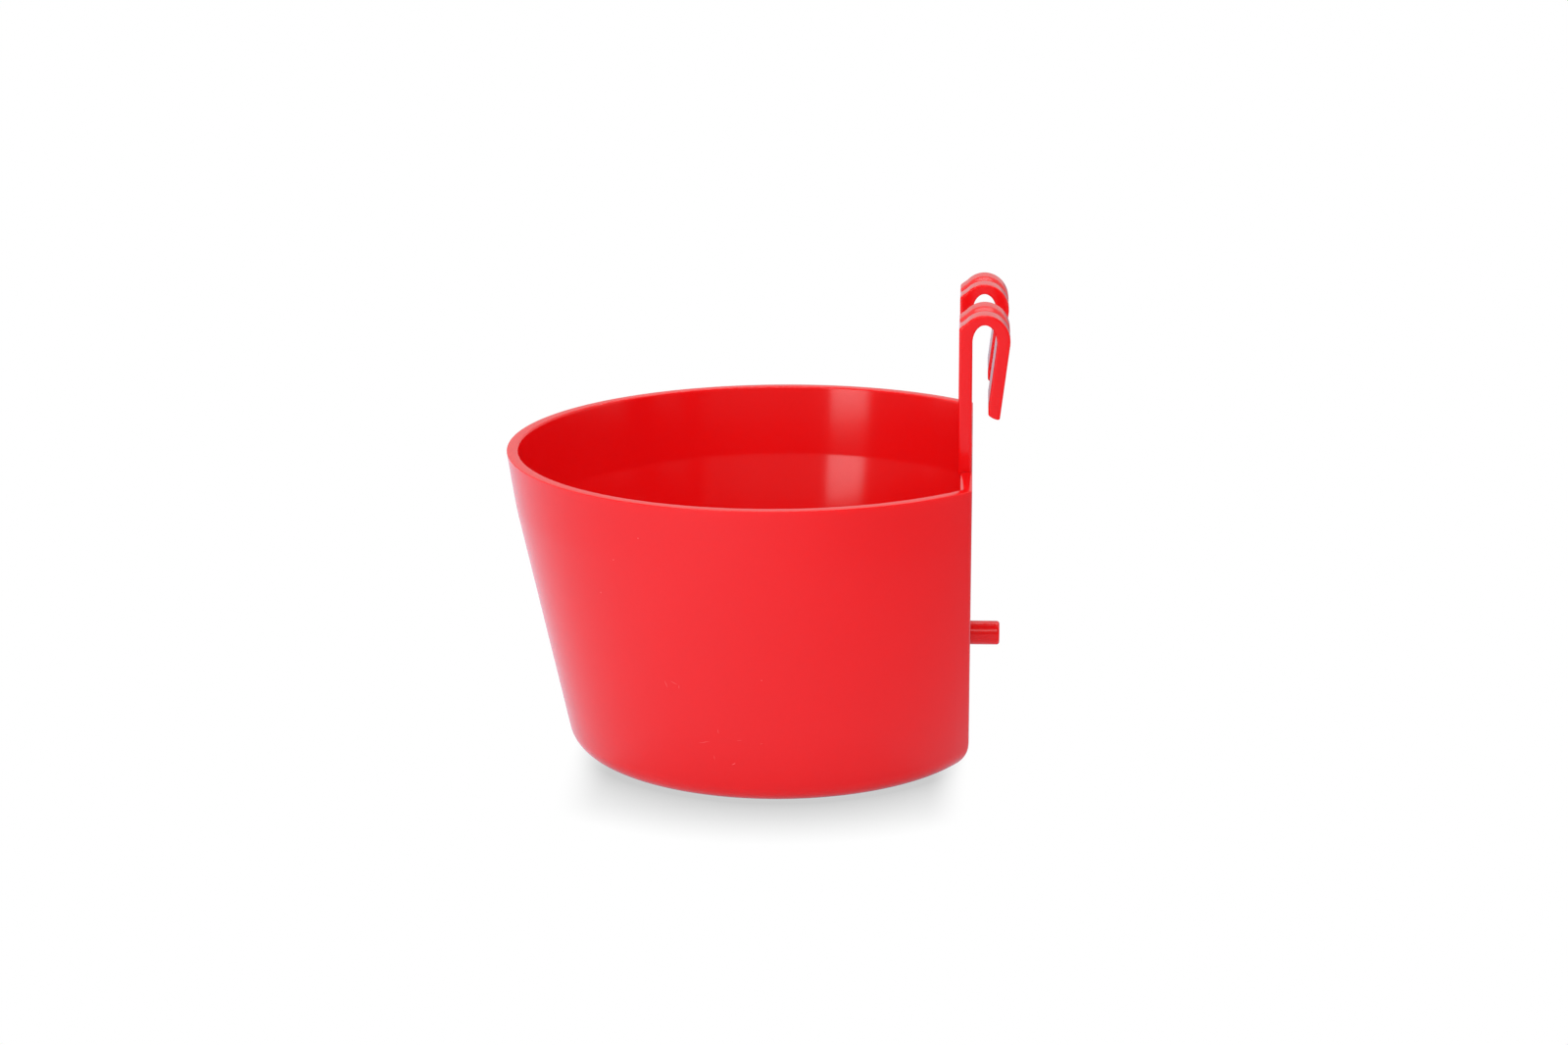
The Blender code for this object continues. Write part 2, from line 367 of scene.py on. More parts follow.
@dataclass(frozen=True)
class MouldedFinish:
    """One finish that the mould leaves on the red plastic.

    Attributes:
        name: the material's name.
        roughness: how dull the surface is on the whole.
        roughness_drift: how much that changes from patch to patch.
        peel_scale: how close the waves of the surface lie, per metre.
        peel_depth: how deep they are, in metres.
        mark_share: how clearly handling marks show.
        stretch: how far turning marks in the mould draw reflections out up and down the wall, from 0 to 1.
        stretch_turn: way in which they are drawn out, in turns from level.
        pigment: colour of the plastic.
        pale_scuff: colour of a handling mark.
        pigment_drift: how much the pigment changes from place to place.
        mark_roughness: how much duller a handling mark is.
        glow: share of the light that spreads inside the plastic.
        glow_reach: how far red light spreads there, in metres.
        glow_tint: how far red, green and blue spread, against that reach.
        ior: refractive index of the plastic.
    """

    name: str
    roughness: float
    roughness_drift: float = 0.03
    peel_scale: float = 420.0
    peel_depth: float = 0.004 * MM
    mark_share: float = 0.25
    stretch: float = 0.0
    stretch_turn: float = 0.25
    pigment: tuple[float, float, float] = (0.850, 0.0055, 0.0075)
    pale_scuff: tuple[float, float, float] = (0.95, 0.13, 0.13)
    pigment_drift: float = 0.07
    mark_roughness: float = 0.2
    glow: float = 0.8
    glow_reach: float = 1.3 * MM
    glow_tint: tuple[float, float, float] = (1.0, 0.15, 0.1)
    ior: float = 1.49

    def material(self, effects: PlasticEffects) -> bpy.types.Material:
        """Return the finish as a material.

        Args:
            effects: the shared node groups.

        Returns:
            The new material.
        """
        material = bpy.data.materials.new(self.name)
        material.use_nodes = True
        board = NodeBoard(material.node_tree)
        shader = material.node_tree.nodes["Principled BSDF"]
        position = board.put("ShaderNodeTexCoord").outputs["Object"]
        drift = effects.drift.place(board, {"Position": position, "Pigment": (*self.pigment, 1.0),
                                            "Drift": self.pigment_drift})
        peel = effects.peel.place(board, {"Position": position, "Scale": self.peel_scale})
        marks = effects.marks.place(board, {"Position": position})
        mark = board.math("MULTIPLY", marks["Mask"], self.mark_share)
        colour = board.blend(mark, drift["Color"], (*self.pale_scuff, 1.0))
        dullness = board.math("MULTIPLY_ADD", peel["Gloss"], self.roughness_drift, self.roughness)
        dullness = board.math("MULTIPLY_ADD", mark, self.mark_roughness, dullness)
        height = board.math("SUBTRACT", peel["Height"], mark)
        bump = board.put("ShaderNodeBump", {"Height": height, "Distance": self.peel_depth, "Strength": 1.0})
        board.feed(shader.inputs["Base Color"], colour)
        board.feed(shader.inputs["Roughness"], dullness)
        board.feed(shader.inputs["Normal"], bump.outputs["Normal"])
        shader.inputs["IOR"].default_value = self.ior
        shader.inputs["Subsurface Weight"].default_value = self.glow
        shader.inputs["Subsurface Radius"].default_value = self.glow_tint
        shader.inputs["Subsurface Scale"].default_value = self.glow_reach
        shader.inputs["Anisotropic"].default_value = self.stretch
        shader.inputs["Anisotropic Rotation"].default_value = self.stretch_turn
        return material


class Pen:
    """Draws one closed outline of edges into a bmesh."""

    def __init__(self, work: bmesh.types.BMesh, start: Vector) -> None:
        """Set the pen down at the outline's first point."""
        self.work = work
        self.known = set(work.edges)
        self.first = work.verts.new(start)
        self.last = self.first

    def line(self, end: Vector) -> bmesh.types.BMVert:
        """Draw a straight edge and return the vertex at its end."""
        self.last = bmesh.ops.extrude_vert_indiv(self.work, verts=[self.last])["verts"][0]
        self.last.co = end
        return self.last

    def turn(self, centre: Vector, axis: Vector, angle: float, steps: int) -> list[bmesh.types.BMVert]:
        """Swing the pen round a centre.

        Args:
            centre: middle of the arc.
            axis: axis of the turn.
            angle: how far to turn, in radians.
            steps: edges along the arc.

        Returns:
            The arc's vertices, with the one that it starts from.
        """
        known = set(self.work.verts)
        start = self.last
        swung = bmesh.ops.spin(self.work, geom=[start], cent=centre, axis=axis, angle=angle, steps=steps)
        self.last = next(part for part in swung["geom_last"] if isinstance(part, bmesh.types.BMVert))
        return [start] + [vert for vert in self.work.verts if vert not in known]

    def close(self, steps: int = 1) -> list[bmesh.types.BMEdge]:
        """Join the outline's ends with a straight run of a few edges and return all its edges."""
        joined = bmesh.ops.contextual_create(self.work, geom=[self.last, self.first])["edges"]
        if steps > 1:
            bmesh.ops.subdivide_edges(self.work, edges=joined, cuts=steps - 1)
        return [edge for edge in self.work.edges if edge not in self.known]


def place_piece(work: bmesh.types.BMesh, name: str, materials: list[bpy.types.Material],
                *nodes: str) -> bpy.types.Object:
    """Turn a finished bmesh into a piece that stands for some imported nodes.

    Args:
        work: the shape, in the row frame. It is freed.
        name: the piece's name.
        materials: its materials, in the order of its slots.
        nodes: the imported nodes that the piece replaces.

    Returns:
        The new object.
    """
    bmesh.ops.remove_doubles(work, verts=work.verts, dist=MERGE_DISTANCE)
    bmesh.ops.recalc_face_normals(work, faces=work.faces)
    mesh = bpy.data.meshes.new(name)
    work.to_mesh(mesh)
    work.free()
    mesh.shade_smooth()
    for material in materials:
        mesh.materials.append(material)
    piece = bpy.data.objects.new(name, mesh)
    bpy.context.scene.collection.objects.link(piece)
    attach(piece, BODY)
    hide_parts(*nodes)
    LOG.info("%s: %d faces", name, len(mesh.polygons))
    return piece


def steps_between(start: float, end: float, steps: int) -> list[float]:
    """Return evenly spaced numbers from one to another, with both ends."""
    return [start + (end - start) * i / steps for i in range(steps + 1)]


@dataclass
class Level:
    """One level of the cup: a circle cut off by the flat back."""

    radius: float
    back: float
    height: float


@dataclass
class Cup:
    """The feed cup, round in front and flat at the back.

    Heights count from the base, radii from the axis of the round wall, and all sizes are in metres.
    """

    shoulder_height: float = 64.6 * MM
    shoulder_radius: float = 67.9 * MM
    shoulder_softness: float = 2.2 * MM
    foot_radius: float = 54.5 * MM
    base_fillet: float = 6.5 * MM
    rim_radius: float = 69.96 * MM
    back_draft: float = math.radians(0.25)
    corner_radius: float = 2.6 * MM
    rim_wall: float = 2.9 * MM
    body_wall: float = 2.64 * MM
    back_wall: float = 2.9 * MM
    floor: float = 2.8 * MM
    inner_shoulder_drop: float = 4.3 * MM
    inner_shoulder_softness: float = 0.5 * MM
    inner_draft: float = math.radians(14.5)
    waist_height: float = 40.0 * MM
    waist_softness: float = 8.0 * MM
    inner_fillet: float = 4.2 * MM
    inner_corner_radius: float = 2.0 * MM
    outer_rim_edge: float = 0.25 * MM
    inner_rim_edge: float = 0.45 * MM
    back_rim_edge: float = 1.6 * MM
    support: float = 0.35 * MM
    level_spacing: float = 3.0 * MM
    arc_steps: int = 176
    corner_steps: int = 8
    flat_steps: int = 12
    bridge_step: float = 8.0 * MM
    edge_steps: int = 6
    fillet_steps: int = 14
    shoulder_steps: int = 8

    def __post_init__(self) -> None:
        """Take the rim's height and the back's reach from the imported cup."""
        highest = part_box("cup")[1]
        self.rim_height = highest.z
        self.back_reach = highest.x
        self.upper_slope = (self.rim_radius - self.shoulder_radius) / (self.rim_height - self.shoulder_height)
        self.lower_slope = (self.shoulder_radius - self.foot_radius) / self.shoulder_height
        self.inner_shoulder_height = self.shoulder_height - self.inner_shoulder_drop
        outer_drop = self.inner_shoulder_drop * self.lower_slope
        self.inner_shoulder_radius = self.shoulder_radius - outer_drop - self.body_wall
        inner_rise = self.rim_height - self.inner_shoulder_height
        self.inner_slope = (self.rim_radius - self.rim_wall - self.inner_shoulder_radius) / inner_rise
        self.draft_slope = math.tan(self.inner_draft)
        narrowing = (self.inner_shoulder_height - self.waist_height) * (self.draft_slope - self.lower_slope)
        self.inner_foot_slope = self.lower_slope - narrowing / (self.waist_height - self.floor)

    @staticmethod
    def soft_bend(rise: float, above: float, below: float, softness: float) -> float:
        """Return how far a wall stands out from the point where two of its slopes meet.

        Args:
            rise: height over that point.
            above: slope over it.
            below: slope under it.
            softness: half the height over which one slope blends into the other.

        Returns:
            The distance outwards, less where the height is under the point.
        """
        if rise >= softness:
            return rise * above
        if rise <= -softness:
            return rise * below
        middle = (above + below) / 2
        return (above - below) * (softness / 4 + rise ** 2 / (4 * softness)) + middle * rise

    def outer_level(self, height: float) -> Level:
        """Return the outside of the walls at a height."""
        rise = height - self.shoulder_height
        bend = self.soft_bend(rise, self.upper_slope, self.lower_slope, self.shoulder_softness)
        back = self.back_reach - (self.rim_height - height) * math.tan(self.back_draft)
        return Level(self.shoulder_radius + bend, back, height)

    def inner_level(self, height: float) -> Level:
        """Return the inside of the walls at a height.

        Under its shoulder the bowl narrows faster than the outer wall does, down to a soft waist, and from
        there the wall thins out again towards the floor.
        """
        rise = height - self.inner_shoulder_height
        bend = self.soft_bend(rise, self.inner_slope, self.draft_slope, self.inner_shoulder_softness)
        easing = self.inner_foot_slope - self.draft_slope
        bend += self.soft_bend(height - self.waist_height, 0.0, easing, self.waist_softness)
        back = self.outer_level(height).back - self.back_wall
        return Level(self.inner_shoulder_radius + bend, back, height)

    def rounded_rim(self, inside: bool) -> list[Level]:
        """Return the levels round one edge of the rim, from its top down to the wall.

        On the inside of the back the edge is rounded more widely than elsewhere.
        """
        edge = self.inner_rim_edge if inside else self.outer_rim_edge
        back_width = self.back_rim_edge / edge if inside else 1.0
        level_at = self.inner_level if inside else self.outer_level
        top = self.rim_height
        levels = []
        for angle in steps_between(0, math.pi / 2, self.edge_steps):
            level = level_at(top - edge * (1 - math.cos(angle)))
            inset = edge * (1 - math.sin(angle)) * (-1 if inside else 1)
            levels.append(Level(level.radius - inset, level.back - inset * back_width, level.height))
        levels.append(level_at(top - edge - self.support))
        return levels

    def plain_wall(self, inside: bool) -> list[Level]:
        """Return the levels down one side of the wall, between the rim's edge and the fillet below."""
        level_at = self.inner_level if inside else self.outer_level
        edge = self.inner_rim_edge if inside else self.outer_rim_edge
        bend = self.inner_shoulder_height if inside else self.shoulder_height
        soft = self.inner_shoulder_softness if inside else self.shoulder_softness
        bottom = self.floor + self.inner_fillet if inside else self.base_fillet
        top = self.rim_height - edge - 2 * self.support
        upper_steps = math.ceil((top - bend - soft - self.support) / self.level_spacing)
        lower_steps = math.ceil((bend - soft - self.support - bottom) / self.level_spacing)
        heights = steps_between(top, bend + soft + self.support, upper_steps)
        heights += steps_between(bend + soft, bend - soft, self.shoulder_steps)
        heights += steps_between(bend - soft - self.support, bottom + self.support, lower_steps)
        return [level_at(height) for height in heights]

    def rounded_foot(self, inside: bool) -> list[Level]:
        """Return the levels where one side of the walls rounds into the floor or the base, from the top."""
        level_at = self.inner_level if inside else self.outer_level
        fillet = self.inner_fillet if inside else self.base_fillet
        middle = fillet + (self.floor if inside else 0.0)
        lean = math.atan(self.inner_foot_slope if inside else self.lower_slope)
        start = level_at(middle)
        levels = [start]
        for angle in steps_between(lean, math.pi / 2, self.fillet_steps):
            out = fillet * math.cos(angle)
            radius = start.radius - fillet / math.cos(lean) + out
            levels.append(Level(radius, start.back - fillet + out, middle - fillet * math.sin(angle)))
        return levels

    def ring(self, work: bmesh.types.BMesh, level: Level, corner: float,
             station: float) -> list[bmesh.types.BMEdge]:
        """Draw the outline of one level of the cup.

        Each ring is drawn on a sheet of its own and then added, because a spin slows down with all that
        is already in its bmesh.

        Args:
            work: the bmesh that takes the ring.
            level: the level to draw.
            corner: radius of its two corners.
            station: height at which it is drawn, in place of the level's own.

        Returns:
            The ring's edges.
        """
        middle = level.back - corner
        half_flat = math.sqrt((level.radius - corner) ** 2 - middle ** 2)
        turn = math.atan2(half_flat, middle)
        sheet = bmesh.new()
        pen = Pen(sheet, Vector((level.back, half_flat, station)))
        pen.turn(Vector((middle, half_flat, station)), UP, turn, self.corner_steps)
        pen.turn(Vector((0, 0, station)), UP, 2 * (math.pi - turn), self.arc_steps)
        pen.turn(Vector((middle, -half_flat, station)), UP, turn, self.corner_steps)
        pen.close(self.flat_steps)
        drawn = bpy.data.meshes.new("ring")
        sheet.to_mesh(drawn)
        sheet.free()
        known = len(work.edges)
        work.from_mesh(drawn)
        bpy.data.meshes.remove(drawn)
        work.edges.ensure_lookup_table()
        return work.edges[known:]

    def cover(self, work: bmesh.types.BMesh, ring: list[bmesh.types.BMEdge], face: CupFace) -> None:
        """Close the floor or the base with a flat face inside a narrow border."""
        made = bmesh.ops.contextual_create(work, geom=ring)["faces"]
        border = bmesh.ops.inset_region(work, faces=made, thickness=self.support)["faces"]
        for part in made + border:
            part.material_index = face

    def build(self, outside: bpy.types.Material, inside: bpy.types.Material) -> bpy.types.Object:
        """Model the cup.

        The rings are drawn and joined far apart and then set to their heights, because rings that lie almost
        on one level can't be bridged safely.

        Args:
            outside: finish of the outer wall and the base.
            inside: finish of the rim and the bowl.

        Returns:
            The cup's object.
        """
        work = bmesh.new()
        bowl = self.rounded_rim(True) + self.plain_wall(True) + self.rounded_foot(True)
        wall = self.rounded_rim(False) + self.plain_wall(False) + self.rounded_foot(False)
        levels = bowl[::-1] + wall
        rings = []
        for i, level in enumerate(levels):
            corner = self.inner_corner_radius if i < len(bowl) else self.corner_radius
            rings.append(self.ring(work, level, corner, i * self.bridge_step))
        rim_end = len(bowl) + self.edge_steps
        for i, (lower, upper) in enumerate(zip(rings, rings[1:])):
            for face in bmesh.ops.bridge_loops(work, edges=lower + upper)["faces"]:
                face.material_index = CupFace.INSIDE if i < rim_end else CupFace.OUTSIDE
        for level, ring in zip(levels, rings):
            for vert in {vert for edge in ring for vert in edge.verts}:
                vert.co.z = level.height
        self.cover(work, rings[0], CupFace.INSIDE)
        self.cover(work, rings[-1], CupFace.OUTSIDE)
        return place_piece(work, "cup_shell", [outside, inside], "cup")


@dataclass
class HookStrap:
    """One flat strap that rises from the rim and bends over into a hook.

    Its place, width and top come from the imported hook. Heights count from the rim.
    """

    SPOTS_PER_METRE: ClassVar[float] = 1e7

    hook: Hook
    arm_thickness: float = 3.3 * MM
    leg_thickness: float = 3.3 * MM
    bend_thickness: float = 2.5 * MM
    bend_rise: float = 6.7 * MM
    slot_rise: float = 4.4 * MM
    bend_start: float = math.radians(135)
    arm_top_drop: float = 0.8 * MM
    leg_lean: float = math.radians(7.3)
    leg_length: float = 23.7 * MM
    tip_lead: float = 3.4 * MM
    toe_rise: float = 1.2 * MM
    side_edge: float = 0.45 * MM
    groove_width: float = 7.0 * MM
    groove_depth: float = 0.9 * MM
    groove_runout: float = 8.0 * MM
    arm_runout: float = 4.0 * MM
    root_depth: float = 2.6 * MM
    root_step: float = 0.95 * MM
    root_drop: float = 0.42 * MM
    support: float = 0.15 * MM
    tip_support: float = 1.2 * MM
    bend_steps: int = 40
    runout_steps: int = 8
    toe_steps: int = 5
    groove_steps: int = 18
    edge_segments: int = 4

    def __post_init__(self) -> None:
        """Take the strap's place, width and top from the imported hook."""
        lowest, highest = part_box(self.hook.value)
        self.arm_face = lowest.x
        self.top = highest.z
        self.side = lowest.y
        self.width = highest.y - lowest.y
        self.middle = (lowest.y + highest.y) / 2
        self.rim_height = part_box("cup")[1].z
        self.bend_reach = (highest.x - lowest.x) / 2
        self.slot_reach = self.bend_reach - (self.arm_thickness + self.leg_thickness) / 2
        self.pulls: dict[tuple[int, int], Vector] = {}
        self.corners: set[tuple[int, int]] = set()

    def point(self, x: float, z: float) -> Vector:
        """Return a point of the side view, on the strap's first side."""
        return Vector((x, self.side, z))

    def spot(self, vert: bmesh.types.BMVert) -> tuple[int, int]:
        """Return where a vertex lies in the side view, in whole steps of a ten-thousandth of a millimetre."""
        return round(vert.co.x * self.SPOTS_PER_METRE), round(vert.co.z * self.SPOTS_PER_METRE)

    def oval(self, pen: Pen, centre: Vector, reach: float, rise: float, start: float,
             end: float) -> list[bmesh.types.BMVert]:
        """Draw an arc of an oval.

        Args:
            pen: the pen that draws the side view.
            centre: middle of the oval.
            reach: half the oval's width.
            rise: half its height.
            start: where the arc starts, in radians.
            end: where it ends.

        Returns:
            The arc's vertices in order.
        """
        pen.line(centre + reach * Vector((math.cos(start), 0, math.sin(start))))
        arc = pen.turn(centre, ACROSS, start - end, self.bend_steps)
        bmesh.ops.scale(pen.work, vec=(1, 1, rise / reach), space=Matrix.Translation(-centre), verts=arc)
        return arc

    def draw(self, work: bmesh.types.BMesh) -> list[bmesh.types.BMEdge]:
        """Draw the side view, from the root over the bend to the tip and back, and return its edges.

        The groove's pull on each vertex of the outer side and the places of the sharp corners are kept.
        """
        bend = self.point(self.arm_face + self.bend_reach, self.top - self.bend_rise)
        slot_top = self.top - self.bend_thickness
        arm_back = self.arm_face + self.arm_thickness
        slot = self.point(arm_back + self.slot_reach, slot_top - self.slot_rise)
        arm_top = slot_top - self.arm_top_drop
        root = self.rim_height - self.root_depth
        tip = slot_top - self.leg_length
        slope = math.tan(self.leg_lean)
        bend_end = -math.atan(slope * self.bend_rise / self.bend_reach)
        slot_end = -math.atan(slope * self.slot_rise / self.slot_reach)

        pen = Pen(work, self.point(self.arm_face + self.root_step, root))
        pen.line(self.point(self.arm_face, self.rim_height - self.root_drop))
        pen.line(self.point(self.arm_face, self.rim_height))
        pen.line(self.point(self.arm_face, arm_top - self.arm_runout))
        corner = pen.line(self.point(self.arm_face, arm_top))
        outer = self.oval(pen, bend, self.bend_reach, self.bend_rise, self.bend_start, bend_end)
        for vert in outer:
            inwards = Vector(((bend.x - vert.co.x) / self.bend_reach ** 2, 0,
                              (bend.z - vert.co.z) / self.bend_rise ** 2))
            self.pulls[self.spot(vert)] = inwards.normalized()
        self.pulls[self.spot(corner)] = self.pulls[self.spot(outer[0])].copy()
        inwards = self.pulls[self.spot(outer[-1])].copy()
        leg_top = outer[-1].co.copy()
        along = Vector((-math.sin(self.leg_lean), 0, -math.cos(self.leg_lean)))
        for share in steps_between(0, 1, self.runout_steps)[1:]:
            vert = pen.line(leg_top + along * self.groove_runout * share)
            self.pulls[self.spot(vert)] = inwards * (1 + math.cos(math.pi * share)) / 2

        lead_top = tip + self.tip_lead
        slot_side = slot.x + self.slot_reach * math.cos(slot_end)
        slot_low = slot.z + self.slot_rise * math.sin(slot_end)
        outer_tip = leg_top.x - (leg_top.z - tip) * slope
        inner_tip = slot_side - (slot_low - lead_top) * slope
        pen.line(self.point(outer_tip + self.tip_support * slope, tip + self.tip_support))
        heel = pen.line(self.point(outer_tip, tip))
        for share in steps_between(0, 1, self.toe_steps)[1:]:
            x = outer_tip + (inner_tip - outer_tip) * share
            toe = pen.line(self.point(x, tip + self.toe_rise * share ** 2))
        pen.line(self.point(inner_tip, lead_top))
        self.corners = {self.spot(vert) for vert in (corner, heel, toe)}
        self.oval(pen, slot, self.slot_reach, self.slot_rise, slot_end, math.pi)
        pen.line(self.point(arm_back, self.rim_height))
        pen.line(self.point(arm_back, root))
        return pen.close()

    def cut_across(self, work: bmesh.types.BMesh) -> None:
        """Cut the strap into slices for the groove, and close to both sides to keep its flats flat."""
        half_groove = self.groove_width / 2
        cuts = steps_between(-half_groove, half_groove, self.groove_steps)
        border = self.width / 2 - self.side_edge - self.support
        for y in [-border, *cuts, border]:
            everything = work.verts[:] + work.edges[:] + work.faces[:]
            bmesh.ops.bisect_plane(work, geom=everything, plane_co=(0, self.middle + y, 0), plane_no=ACROSS,
                                   dist=MERGE_DISTANCE)

    def sink_groove(self, work: bmesh.types.BMesh) -> None:
        """Press the dished groove into the outside of the bend."""
        half_groove = self.groove_width / 2
        for vert in work.verts:
            across = (vert.co.y - self.middle) / half_groove
            if abs(across) < 1 and self.spot(vert) in self.pulls:
                depth = self.groove_depth * (1 + math.cos(math.pi * across)) / 2
                vert.co += self.pulls[self.spot(vert)] * depth

    def round_edges(self, work: bmesh.types.BMesh, corner_edges: list[bmesh.types.BMEdge]) -> None:
        """Round the strap's corners and its two sides."""
        half = self.width / 2 - MERGE_DISTANCE
        side_edges = [edge for edge in work.edges
                      if all(abs(vert.co.y - self.middle) > half for vert in edge.verts)]
        bmesh.ops.bevel(work, geom=side_edges + corner_edges, offset=self.side_edge, offset_type="OFFSET",
                        segments=self.edge_segments, profile=0.5, affect="EDGES", material=-1)
        sides = [face for face in work.faces if len(face.verts) > self.bend_steps]
        bmesh.ops.inset_individual(work, faces=sides, thickness=self.support)

    def build(self, finish: bpy.types.Material) -> bpy.types.Object:
        """Model the strap.

        Args:
            finish: its material.

        Returns:
            The strap's object.
        """
        work = bmesh.new()
        outline = self.draw(work)
        side_face = bmesh.ops.contextual_create(work, geom=outline)["faces"]
        drawn = bmesh.ops.extrude_face_region(work, geom=side_face)["geom"]
        far_side = [part for part in drawn if isinstance(part, bmesh.types.BMVert)]
        bmesh.ops.translate(work, vec=ACROSS * self.width, verts=far_side)
        self.cut_across(work)
        corner_edges = [edge for edge in work.edges
                        if self.spot(edge.verts[0]) == self.spot(edge.verts[1])
                        and self.spot(edge.verts[0]) in self.corners]
        self.sink_groove(work)
        self.round_edges(work, corner_edges)
        return place_piece(work, f"{self.hook.value}_strap", [finish], self.hook.value)


@dataclass
class StandOffPeg:
    """The round peg low on the back that keeps the hanging cup upright."""

    end_edge: float = 0.7 * MM
    root_depth: float = 1.2 * MM
    support: float = 0.25 * MM
    edge_steps: int = 6
    round_steps: int = 64

    def __post_init__(self) -> None:
        """Take the peg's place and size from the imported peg."""
        self.lowest, self.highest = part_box("spacer_peg")
        self.radius = (self.highest.z - self.lowest.z) / 2
        self.axis_height = (self.highest.z + self.lowest.z) / 2

    def point(self, x: float, radius: float) -> Vector:
        """Return a point of the peg's profile."""
        return Vector((x, 0, self.axis_height + radius))

    def build(self, finish: bpy.types.Material) -> bpy.types.Object:
        """Model the peg.

        Args:
            finish: its material.

        Returns:
            The peg's object.
        """
        work = bmesh.new()
        root = self.lowest.x - self.root_depth
        end = self.highest.x
        face_radius = self.radius - self.end_edge
        pen = Pen(work, self.point(root, 0))
        pen.line(self.point(root, self.radius))
        pen.line(self.point(root + self.support, self.radius))
        pen.line(self.point(end - self.end_edge - self.support, self.radius))
        pen.line(self.point(end - self.end_edge, self.radius))
        pen.turn(self.point(end - self.end_edge, face_radius), ACROSS, math.pi / 2, self.edge_steps)
        pen.line(self.point(end, face_radius - self.support))
        pen.line(self.point(end, 0))
        bmesh.ops.spin(work, geom=work.verts[:] + work.edges[:], cent=self.point(0, 0), axis=BACKWARDS,
                       angle=2 * math.pi, steps=self.round_steps, use_merge=True)
        return place_piece(work, "stand_off_peg", [finish], "spacer_peg")


@dataclass
class PhotoCamera:
    """The photograph's camera, found by fitting the cup's edges.

    Attributes:
        target: the point in the middle of the image.
        distance: how far the camera is from it.
        elevation: how far the camera looks down, in radians.
        azimuth: how far the camera stands to the back's side, in radians.
        roll: its turn about its own axis, in radians.
        focal_share: focal length as a share of the image's width.
        nearest: distance at which its view begins.
    """

    target: Vector
    distance: float = 0.783763
    elevation: float = math.radians(14.987)
    azimuth: float = math.radians(3.686)
    roll: float = math.radians(-0.446)
    focal_share: float = 1.924973
    nearest: float = 10 * MM

    def build(self) -> bpy.types.Object:
        """Return the camera, set as the scene's own."""
        lens = bpy.data.cameras.new("photo_camera")
        lens.sensor_fit = "HORIZONTAL"
        lens.lens = lens.sensor_width * self.focal_share
        lens.clip_start = self.nearest
        camera = bpy.data.objects.new("photo_camera", lens)
        level = math.cos(self.elevation)
        towards = Vector((math.sin(self.azimuth) * level, -math.cos(self.azimuth) * level,
                          math.sin(self.elevation)))
        right = Vector((math.cos(self.azimuth), math.sin(self.azimuth), 0))
        above = towards.cross(right)
        turn = Matrix.Rotation(self.roll, 3, towards)
        camera.matrix_world = Matrix.Translation(self.target + towards * self.distance) @ Matrix(
            (turn @ right, turn @ above, towards)).transposed().to_4x4()
        bpy.context.scene.collection.objects.link(camera)
        bpy.context.scene.camera = camera
        return camera


@dataclass(frozen=True)
class Softbox:
    """A flat lamp of even brightness.

    Attributes:
        name: the lamp's name.
        bearing: where it stands seen from above, in degrees from the front, to the right.
        elevation: how high it stands over the floor, in degrees.
        distance: how far it is from the cup, in metres.
        width: its width, in metres.
        height: its height, in metres.
        radiance: how bright it looks, where 1 is white.
        mirrored: whether reflections show it.
    """

    name: str
    bearing: float
    elevation: float
    distance: float
    width: float
    height: float
    radiance: float
    mirrored: bool = True

    def build(self, aim: Vector) -> bpy.types.Object:
        """Return the lamp, turned to a point."""
        lamp = bpy.data.lights.new(self.name, "AREA")
        lamp.shape = "RECTANGLE"
        lamp.size = self.width
        lamp.size_y = self.height
        lamp.energy = math.pi * self.width * self.height * self.radiance
        softbox = bpy.data.objects.new(self.name, lamp)
        bearing = math.radians(self.bearing)
        elevation = math.radians(self.elevation)
        outwards = Vector((math.sin(bearing) * math.cos(elevation), -math.cos(bearing) * math.cos(elevation),
                           math.sin(elevation)))
        softbox.location = aim + outwards * self.distance
        softbox.rotation_euler = outwards.to_track_quat("Z", "Y").to_euler()
        softbox.visible_camera = False
        softbox.visible_glossy = self.mirrored
        bpy.context.scene.collection.objects.link(softbox)
        return softbox


